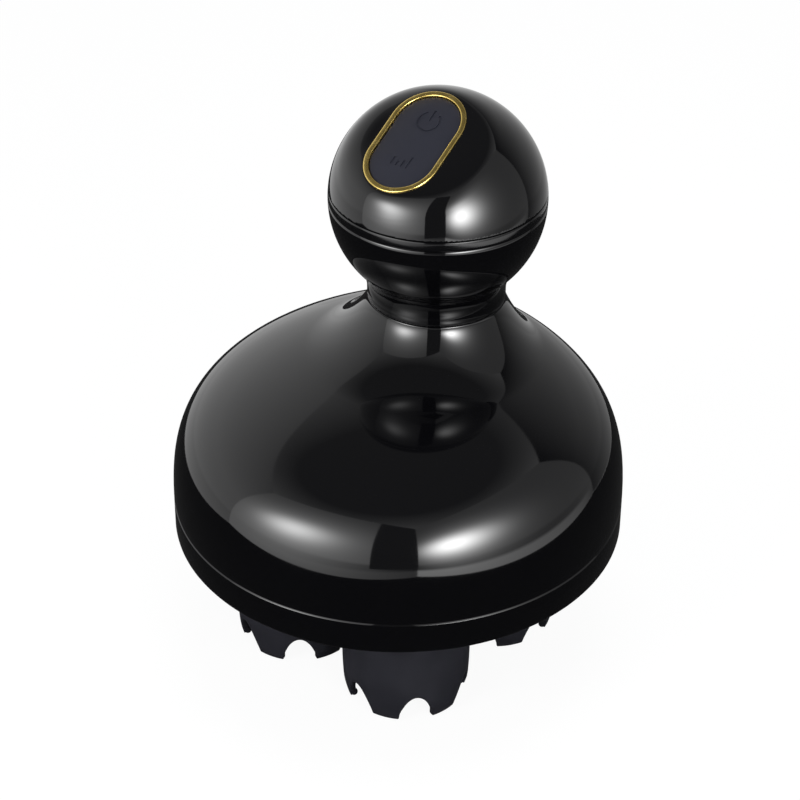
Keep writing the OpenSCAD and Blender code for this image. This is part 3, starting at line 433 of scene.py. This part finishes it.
def makeDome():
    d = domeLook
    way = Vector((math.cos(math.radians(d["slope"])), -math.sin(math.radians(d["slope"]))))
    turn = Vector((d["turnRadius"], d["turnHeight"]))
    r, n, edge = body["radius"], grip["neckRadius"], d["neckEdge"]
    low = [(r, 0), (r, d["wallPull"]), turn + d["turnPull"] * way, turn]
    high = [turn, turn - d["hollowPull"] * way, (n, d["height"] - d["neckPull"]), (n, d["height"])]
    curve = [cubic(low, i / d["steps"]) for i in range(d["steps"])]
    curve += [cubic(high, i / d["steps"]) for i in range(d["steps"] + 1)]
    gap = body["seamGap"]
    curve = [(r - gap, 0.0), (r - 0.3 * gap, 0.3 * gap)] + [p for p in curve if p[1] > gap]
    curve[-1] = (n, d["height"] - edge)
    curve += [(n - edge / 3, d["height"] - edge / 3), (n - edge, d["height"])]
    mesh = spun([(p[0], p[1] + body["seamZ"]) for p in curve], d["sides"])
    for v in mesh.verts:
        v.co.y += ringBack(math.hypot(v.co.x, v.co.y))
    bmesh.ops.recalc_face_normals(mesh, faces=mesh.faces)
    bmesh.ops.solidify(mesh, geom=mesh.faces[:], thickness=body["wall"])
    return pieceFrom(mesh, "dome", pianoBlack, "housing", ["dome_shell"])


baseLook = {"recess": 1.5, "recessEdge": 0.3, "rimEdge": 1.0, "seamEdge": 0.1, "ledge": 2, "floorTop": 4,
            "bossHole": 4.2, "bossRadius": 6.2, "bossDrop": 2, "bossEdge": 0.4, "bossSides": 64}


def makeBase():
    b = baseLook
    r, z, top, gap = body["radius"], body["rimZ"], body["seamZ"], body["seamGap"]
    inner = r - body["wall"]
    floorZ, ledge, floorTop = z + b["recess"], inner - b["ledge"], z + b["floorTop"]
    profile = filleted([(0, floorZ), (inner, floorZ, b["recessEdge"]), (inner, z, b["recessEdge"]),
                        (r, z, b["rimEdge"]), (r, top - gap, b["seamEdge"]), (r - gap, top, b["seamEdge"]),
                        (ledge, top), (ledge, floorTop), (0, floorTop)])
    mesh = spun(profile, domeLook["sides"], closed=True)
    low, high = z - b["bossDrop"], z + b["bossDrop"]
    boss = filleted([(b["bossHole"], low), (b["bossRadius"], low, b["bossEdge"]), (b["bossRadius"], high),
                     (b["bossHole"], high)])
    for k in "1234":
        low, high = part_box("spindle_" + k)
        part = spun(boss, b["bossSides"], closed=True)
        bmesh.ops.translate(part, vec=((low.x + high.x) * 500, (low.y + high.y) * 500, 0), verts=part.verts)
        joined = bpy.data.meshes.new("boss")
        part.to_mesh(joined)
        part.free()
        mesh.from_mesh(joined)
        bpy.data.meshes.remove(joined)
    return pieceFrom(mesh, "base", pianoBlack, "housing", ["base_ring"])


def gripArc():
    # The hollow arc between neck and ball: its radius, its middle's distance from the axis, where it joins the ball
    # as a share of the way to the ball's middle, and how far it lies under that
    drop = grip["ballZ"] - body["neckZ"] - grip["neckRise"]
    n, b = grip["neckRadius"], grip["ballRadius"]
    radius = (drop ** 2 + n ** 2 - b ** 2) / (2 * (b - n))
    return radius, n + radius, b / (b + radius), drop


# Points are (in from the surface, up from the end)
neckLook = {"foot": ((0.3, 0.02), (0.1, 0.12), (0, 0.35)), "lip": ((0.12, -0.1), (0.35, -0.02)), "lipStart": 0.3,
            "wall": 1.9, "arcSteps": 20, "ballSteps": 24, "sides": 192}


def makeNeck():
    radius, middle, share, drop = gripArc()
    n, b, z = grip["neckRadius"], grip["ballRadius"], body["neckZ"]
    joinR, joinZ = middle * share, grip["ballZ"] - drop * share
    arcMiddleZ = z + grip["neckRise"]
    outer = [(n - inset, z + up) for inset, up in neckLook["foot"]]
    end, steps = math.atan2(joinZ - arcMiddleZ, middle - joinR), neckLook["arcSteps"]
    for angle in [end * i / steps for i in range(steps + 1)]:
        outer.append((middle - radius * math.cos(angle), arcMiddleZ + radius * math.sin(angle)))
    start = math.asin((joinZ - grip["ballZ"]) / b)
    stop, steps = math.asin((grip["bandLow"] - neckLook["lipStart"]) / b), neckLook["ballSteps"]
    for angle in [start + (stop - start) * i / steps for i in range(1, steps + 1)]:
        outer.append((b * math.cos(angle), grip["ballZ"] + b * math.sin(angle)))
    outer += [(b - inset, grip["ballZ"] + grip["bandLow"] + up) for inset, up in neckLook["lip"]]
    mesh = spun(outer, neckLook["sides"])
    bmesh.ops.solidify(mesh, geom=mesh.faces[:], thickness=neckLook["wall"])
    bmesh.ops.translate(mesh, vec=(0, grip["back"], 0), verts=mesh.verts)
    return pieceFrom(mesh, "neck", pianoBlack, "housing", ["neck_shell"])


bandLook = {"lowEdge": ((0.35, 0.02), (0.09, 0.08)), "highEdge": ((0.12, -0.08), (0.4, -0.02)), "edge": 0.35,
            "steps": 6, "depth": 4, "sides": 192}


def makeBand():
    b, z = grip["ballRadius"], grip["ballZ"]
    low, high, edge, steps = grip["bandLow"], grip["bandHigh"], bandLook["edge"], bandLook["steps"]
    outer = [(b - inset, low + up) for inset, up in bandLook["lowEdge"]]
    for h in [low + edge + (high - low - 2 * edge) * i / steps for i in range(steps + 1)]:
        outer.append((math.sqrt(b * b - h * h), h))
    outer += [(b - inset, high + up) for inset, up in bandLook["highEdge"]]
    inner = b - bandLook["depth"]
    profile = [(r, h + z) for r, h in outer] + [(inner, z + high), (inner, z + low)]
    mesh = spun(profile, bandLook["sides"], closed=True)
    bmesh.ops.translate(mesh, vec=(0, grip["back"], 0), verts=mesh.verts)
    return pieceFrom(mesh, "ball_band", bandBlack, "housing", ["knob_band"])


capLook = {"joins": 19.5, "start": -0.06, "hole": 9.0, "flatZ": 17, "clear": 0.3, "shoulderRings": 24, "ballRings": 80,
           "end": 119, "gap": 0.35, "rim": ((0.2, 0.02), (0.13, 0.16), (0.02, 0.3)), "wall": 1.6, "sides": 256}


def capHeight(r, edge):
    # Height over the ball's centre: a soft shoulder from the ring's edge out to where it joins the ball
    ball, end = grip["ballRadius"], capLook["joins"]
    if r >= end:
        return math.sqrt(max(0, ball * ball - r * r))
    last = math.sqrt(ball * ball - end * end)
    t, span = (r - edge) / (end - edge), end - edge
    return ((2 * t ** 3 - 3 * t * t + 1) * pad["out"] + (t ** 3 - 2 * t * t + t) * span * capLook["start"]
            + (3 * t * t - 2 * t ** 3) * last - (t ** 3 - t * t) * span * end / last)


def stadiumRadius(angle, length, width):
    # Distance from the middle to the edge of a bar with round ends that lies along Y
    c, s, r, h = abs(math.cos(angle)), abs(math.sin(angle)), width / 2, (length - width) / 2
    if c > 1e-6 and s / c * r <= h:
        return r / c
    return h * s + math.sqrt(r * r - h * h * c * c)


def makeCap():
    c = capLook
    b, joins, hole, flatZ, clear = grip["ballRadius"], c["joins"], c["hole"], c["flatZ"], c["clear"]
    rings = c["shoulderRings"]
    profile = [(r, flatZ + joins - r) for r in [hole + (joins - hole) * i / rings for i in range(rings + 1)]]
    start, end, rings = math.asin(joins / b), math.radians(c["end"]), c["ballRings"]
    profile += [(b * math.sin(a), b * math.cos(a)) for a in
                [start + (end - start) * i / rings for i in range(1, rings + 1)]]
    mesh = spun(profile, c["sides"])
    for v in mesh.verts:
        r, angle = math.hypot(v.co.x, v.co.y), math.atan2(v.co.y, v.co.x)
        if v.co.z > flatZ - 0.01:   # the rings of the shoulder, whose inner edge follows the gold ring
            edge = stadiumRadius(angle, pad["length"] - clear, pad["width"] - clear)
            now = edge + (r - hole) / (joins - hole) * (joins - edge)
            v.co = (now * math.cos(angle), now * math.sin(angle), capHeight(now, edge))
    bmesh.ops.transform(mesh, matrix=padPlace @ Matrix.Translation((0, 0, -pad["out"])), verts=mesh.verts)
    cut = bmesh.ops.bisect_plane(mesh, geom=mesh.verts[:] + mesh.edges[:] + mesh.faces[:],
                                 plane_co=(0, 0, grip["ballZ"] + grip["bandHigh"] + c["gap"]), plane_no=(0, 0, 1),
                                 clear_inner=True)
    rim = [e for e in cut["geom_cut"] if isinstance(e, bmesh.types.BMEdge)]
    for drop, inset in c["rim"]:
        rim = [e for e in bmesh.ops.extrude_edge_only(mesh, edges=rim)["geom"] if isinstance(e, bmesh.types.BMEdge)]
        for v in {v for e in rim for v in e.verts}:
            side = Vector((v.co.x, v.co.y - grip["back"]))
            side *= 1 - inset / side.length
            v.co = (side.x, side.y + grip["back"], v.co.z - drop)
    bmesh.ops.recalc_face_normals(mesh, faces=mesh.faces)
    if max(mesh.faces, key=lambda f: f.calc_center_median().x).normal.x < 0:
        bmesh.ops.reverse_faces(mesh, faces=mesh.faces)
    bmesh.ops.solidify(mesh, geom=mesh.faces[:], thickness=c["wall"])
    return pieceFrom(mesh, "knob", pianoBlack, "housing", ["knob_cap"])


makeDome()
makeBase()
makeNeck()
makeBand()
makeCap()
print("body and grip made")


def stadiumLoop(mesh, width, z, sides=96):
    ring = bmesh.ops.create_circle(mesh, segments=sides, radius=width / 2)["verts"]
    bmesh.ops.rotate(mesh, cent=(0, 0, 0), matrix=Matrix.Rotation(math.pi / sides, 3, "Z"), verts=ring)
    half = (pad["length"] - pad["width"]) / 2
    for v in ring:
        v.co = (v.co.x, v.co.y + math.copysign(half, v.co.y), z)
    inside = set(ring)
    return [e for e in mesh.edges if e.verts[0] in inside and e.verts[1] in inside]


trimLook = {"wallTop": 0.05, "square": 0.5, "steps": 14}   # square: 1 is a round top, less is a flatter one


def makeTrim():
    w, t, low = pad["width"], pad["trim"], trimLook["wallTop"]
    square, steps = trimLook["square"], trimLook["steps"]
    section = [(0, -pad["sunk"]), (0, low)]
    # Flat on top with small rounded edges
    for a in [math.pi * i / steps for i in range(1, steps)]:
        section.append((-t / 2 + t / 2 * math.copysign(abs(math.cos(a)) ** square, math.cos(a)),
                        low + (pad["proud"] - low) * math.sin(a) ** square))
    section += [(-t, low), (-t, -pad["sunk"])]
    mesh = bmesh.new()
    loops = [stadiumLoop(mesh, w + 2 * out, z) for out, z in section]
    for a, b in zip(loops, loops[1:] + loops[:1]):
        bmesh.ops.bridge_loops(mesh, edges=a + b)
    bmesh.ops.recalc_face_normals(mesh, faces=mesh.faces)
    bmesh.ops.transform(mesh, matrix=padPlace, verts=mesh.verts)
    return pieceFrom(mesh, "trim", goldPlate, "housing", ["trim_ring"], sharp=50)


# The power sign is an arc from one angle over so many degrees, with a tick: its middle and length over the radius.
# bars: place across and length. barsFoot: how far they start below barsAt
iconLook = {"deep": 0.17, "stroke": 0.5, "face": -0.1, "powerAt": 6.4, "powerRadius": 2.75, "from": 125, "sweep": 290,
            "steps": 40, "tick": (0.65, 1.1), "barsAt": -5.8, "barsFoot": 1.5,
            "bars": ((-2.3, 2.2), (-0.9, 1.3), (0.5, 1.9), (1.9, 3.3))}


def iconCutter():
    # The generic power sign and four level bars, as a cutter that reaches just under the pad's face
    look = iconLook
    mesh = bmesh.new()
    h, s = look["deep"], look["stroke"] / 2
    r = look["powerRadius"]
    corners = [mesh.verts.new((x, 0, z)) for x, z in ((r - s, -h), (r + s, -h), (r + s, h), (r - s, h))]
    edges = [mesh.edges.new((corners[i], corners[(i + 1) % 4])) for i in range(4)]
    bmesh.ops.rotate(mesh, cent=(0, 0, 0), matrix=Matrix.Rotation(math.radians(look["from"]), 3, "Z"), verts=corners)
    bmesh.ops.spin(mesh, geom=corners + edges, cent=(0, 0, 0), axis=(0, 0, 1), angle=math.radians(look["sweep"]),
                   steps=look["steps"])
    bmesh.ops.holes_fill(mesh, edges=mesh.edges)
    bmesh.ops.translate(mesh, vec=(0, look["powerAt"], 0), verts=mesh.verts)
    strokes = [(0, look["powerAt"] + r * look["tick"][0], r * look["tick"][1])]
    strokes += [(x, look["barsAt"] - look["barsFoot"] + length / 2, length) for x, length in look["bars"]]
    for x, y, length in strokes:
        cube = bmesh.ops.create_cube(mesh, size=1)["verts"]
        bmesh.ops.scale(mesh, vec=(2 * s, length, 2 * h), verts=cube)
        bmesh.ops.translate(mesh, vec=(x, y, 0), verts=cube)
    bmesh.ops.recalc_face_normals(mesh, faces=mesh.faces)
    bmesh.ops.translate(mesh, vec=(0, 0, look["face"]), verts=mesh.verts)
    bmesh.ops.transform(mesh, matrix=padPlace, verts=mesh.verts)
    return pieceFrom(mesh, "icon_cutter", padSilicone, None)


# section: (out, up) in mm. rows: cuts across each half, with their step and the stretch of the bend in metres from the
# middle line
keypadLook = {"clear": 0.1, "section": ((0, -3.2), (0, -0.45), (-0.04, -0.3), (-0.14, -0.16), (-0.3, -0.1)),
              "rows": 8, "rowStep": 0.0007, "bend": (0.0006, 0.0058)}


def makeKeypad():
    look = keypadLook
    w = pad["width"] - 2 * pad["trim"] - look["clear"]
    mesh = bmesh.new()
    loops = [stadiumLoop(mesh, w + 2 * out, z) for out, z in look["section"]]
    for a, b in zip(loops, loops[1:]):
        bmesh.ops.bridge_loops(mesh, edges=a + b)
    for end in (loops[0], loops[-1]):
        bmesh.ops.edgeloop_fill(mesh, edges=end)
    bmesh.ops.recalc_face_normals(mesh, faces=mesh.faces)
    bmesh.ops.transform(mesh, matrix=padPlace, verts=mesh.verts)
    whole = pieceFrom(mesh, "keypad_whole", padSilicone, None)
    cutter = iconCutter()
    carve = whole.modifiers.new("icons", "BOOLEAN")
    carve.object = cutter
    carve.solver = "EXACT"
    bpy.context.view_layer.update()
    carved = bpy.data.meshes.new_from_object(whole.evaluated_get(bpy.context.evaluated_depsgraph_get()))
    middle = padPlace.translation * 0.001
    along = padPlace.to_3x3() @ Vector((0, 1, 0))
    for side, name, key, replaced in ((1, "keypad_upper", "power_button", ["keypad_mat", "power_key"]),
                                      (-1, "keypad_lower", "mode_button", ["mode_key"])):
        half = bmesh.new()
        half.from_mesh(carved)
        cut = bmesh.ops.bisect_plane(half, geom=half.verts[:] + half.edges[:] + half.faces[:], plane_co=middle,
                                     plane_no=along * side, clear_inner=True)
        bmesh.ops.edgeloop_fill(half, edges=[e for e in cut["geom_cut"] if isinstance(e, bmesh.types.BMEdge)])
        for i in range(1, look["rows"] + 1):
            bmesh.ops.bisect_plane(half, geom=half.verts[:] + half.edges[:] + half.faces[:],
                                   plane_co=middle + along * side * i * look["rowStep"], plane_no=along)
        data = bpy.data.meshes.new(name)
        half.to_mesh(data)
        half.free()
        data.materials.clear()
        data.materials.append(padSilicone)
        data.shade_smooth()
        data.set_sharp_from_angle(angle=math.radians(32))
        piece = bpy.data.objects.new(name, data)
        bpy.context.scene.collection.objects.link(piece)
        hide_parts(*replaced)
        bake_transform(piece)
    for spare in (whole, cutter):
        bpy.data.objects.remove(spare)


makeTrim()
makeKeypad()
print("keypad made")


# Heights are from the tips. flat: where the top's flat ring has its inner row. sides: rows of the straight side.
# meet: where the petals' rows meet it. turns: of the petals, in degrees. creases: of the wall's edges
clawLook = {"radius": 16.0, "top": 30.5, "hole": 5.3, "flat": 7.0, "shoulder": 7.0, "sides": (19.8, 16.2), "meet": 13.6,
            "waist": 8.0, "curl": 25.0, "wall": 1.8, "petals": 6, "archHalf": 4.6, "archHigh": 8.4, "archSpring": 0.42,
            "petalRows": (1, 0.68, 0.36, 0.1, 0), "foot": 0.55, "nub": 1.9, "nubStep": 9.8,
            "creases": {"rim": 0.0, "outer": 0.45, "inner": 0.3},
            "turns": {"1": 45, "2": 37, "3": 8, "4": 20}}


def clawRadius(z):
    c = clawLook
    if z >= c["waist"]:
        return c["radius"]
    return c["radius"] - c["curl"] + math.sqrt(c["curl"] ** 2 - (c["waist"] - z) ** 2)


def petalSide(z):
    # Angle from a petal's middle to its side at a height, where the arch begins
    c = clawLook
    half = c["archHalf"] * math.sqrt(max(0, 1 - (max(0, z) / c["archHigh"]) ** 1.5))
    return 30 - math.degrees(half / c["radius"])


def clawColumns():
    # Angles of a petal's columns, from its middle to the arch's middle, and the height of the arch's edge there
    c = clawLook
    spring = c["archSpring"] * c["archHigh"]
    side = petalSide(spring)
    columns = [(side * i / 3, spring + 1.0 - 0.33 * i) for i in range(4)]
    start = math.degrees(math.asin(c["archSpring"] ** 0.75))
    for i in (1, 2, 3):
        a = math.radians(start + (90 - start) * i / 3)
        columns.append((30 - math.degrees(c["archHalf"] * math.cos(a) / c["radius"]),
                        c["archHigh"] * math.sin(a) ** (4 / 3)))
    return columns


def makeClaw(k):
    c = clawLook
    low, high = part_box("spindle_" + k)
    centre = Vector(((low.x + high.x) * 500, (low.y + high.y) * 500, 0))
    fixed = [(c["hole"], c["top"]), (c["flat"], c["top"]), (c["radius"] - c["shoulder"], c["top"])]
    for a in range(15, 91, 15):
        fixed.append((c["radius"] - c["shoulder"] + c["shoulder"] * math.sin(math.radians(a)),
                      c["top"] - c["shoulder"] + c["shoulder"] * math.cos(math.radians(a))))
    fixed += [(c["radius"], z) for z in c["sides"]]
    edgeRow = len(fixed) + 1
    columns = clawColumns()
    perPetal = 2 * (len(columns) - 1)
    rows = edgeRow + 5
    mesh = spun([(10, -i) for i in range(rows)], perPetal * c["petals"])
    step = math.tau / (perPetal * c["petals"])
    gone = []
    for f in mesh.faces:
        m = f.calc_center_median()
        u = (math.atan2(m.y, m.x) / step) % perPetal
        if -m.z > edgeRow and 3 < u < perPetal - 3:
            gone.append(f)
    for v in mesh.verts:
        row = round(-v.co.z)
        u = round(math.atan2(v.co.y, v.co.x) / step)
        petal, within = divmod(u, perPetal)
        mirrored = within > perPetal // 2
        column = perPetal - within if mirrored else within
        angle, edge = columns[column]
        if row < len(fixed):
            r, z = fixed[row]
        else:
            below = row - edgeRow
            if below < 0:
                z = (edge + c["meet"]) / 2 + 0.4
            else:
                z = c["foot"] + (edge - c["foot"]) * c["petalRows"][below]
            r = clawRadius(z)
            if below > 0 and column < 4:
                angle = petalSide(z - c["foot"]) * column / 3
        angle = math.radians(petal * 60 + (60 - angle if mirrored else angle))
        v.co = (r * math.cos(angle), r * math.sin(angle), z)
    bmesh.ops.delete(mesh, geom=gone, context="FACES")
    bmesh.ops.recalc_face_normals(mesh, faces=mesh.faces)
    outer = max(mesh.faces, key=lambda f: f.calc_center_median().x)
    if outer.normal.x < 0:
        bmesh.ops.reverse_faces(mesh, faces=mesh.faces)
    turn = Matrix.Translation(centre) @ Matrix.Rotation(math.radians(c["turns"][k]), 4, "Z")
    bmesh.ops.transform(mesh, matrix=turn, verts=mesh.verts)
    claw = pieceFrom(mesh, "claw_skin_" + k, clawSilicone, "claw_head_" + k, ["claw_" + k], sharp=180)
    thick = claw.modifiers.new("wall", "SOLIDIFY")
    thick.thickness = c["wall"] / 1000
    thick.offset = -1
    thick.use_even_offset = True
    for edge, crease in c["creases"].items():
        setattr(thick, "edge_crease_" + edge, crease)
    soft = claw.modifiers.new("soft", "SUBSURF")
    soft.levels = soft.render_levels = 2
    nubs = bmesh.new()
    edgeR = clawRadius(0) - c["wall"] / 2
    for i in range(c["petals"]):
        for j in (-1, 0, 1):
            a = math.radians(60 * i + c["nubStep"] * j)
            ball = bmesh.ops.create_icosphere(nubs, subdivisions=3, radius=c["nub"] / 2)["verts"]
            bmesh.ops.translate(nubs, vec=(edgeR * math.cos(a), edgeR * math.sin(a), c["nub"] / 2), verts=ball)
    bmesh.ops.transform(nubs, matrix=turn, verts=nubs.verts)
    pieceFrom(nubs, "claw_nubs_" + k, clawSilicone, "claw_head_" + k, sharp=180)


for k in "1234":
    makeClaw(k)
print("claws made")


def smoothCopy(name):
    # A solid that shows, with its doubles merged so that it shades smoothly
    mesh = bmesh.new()
    mesh.from_mesh(nodes[name].data)
    bmesh.ops.remove_doubles(mesh, verts=mesh.verts, dist=2e-6)
    bmesh.ops.transform(mesh, matrix=Matrix.Scale(1000, 4), verts=mesh.verts)
    bodyName = next(b for b, members in frame["record"]["behaviour"]["bodies"].items() if name in members)
    pieceFrom(mesh, name + "_smooth", finishOf[name], bodyName, [name])


for k in "1234":
    smoothCopy("spindle_" + k)
    smoothCopy("claw_hub_" + k)
smoothCopy("spindle_seals")
smoothCopy("base_screws")
smoothCopy("charge_contacts")
print("solids that show made smooth")

bpy.context.view_layer.update()
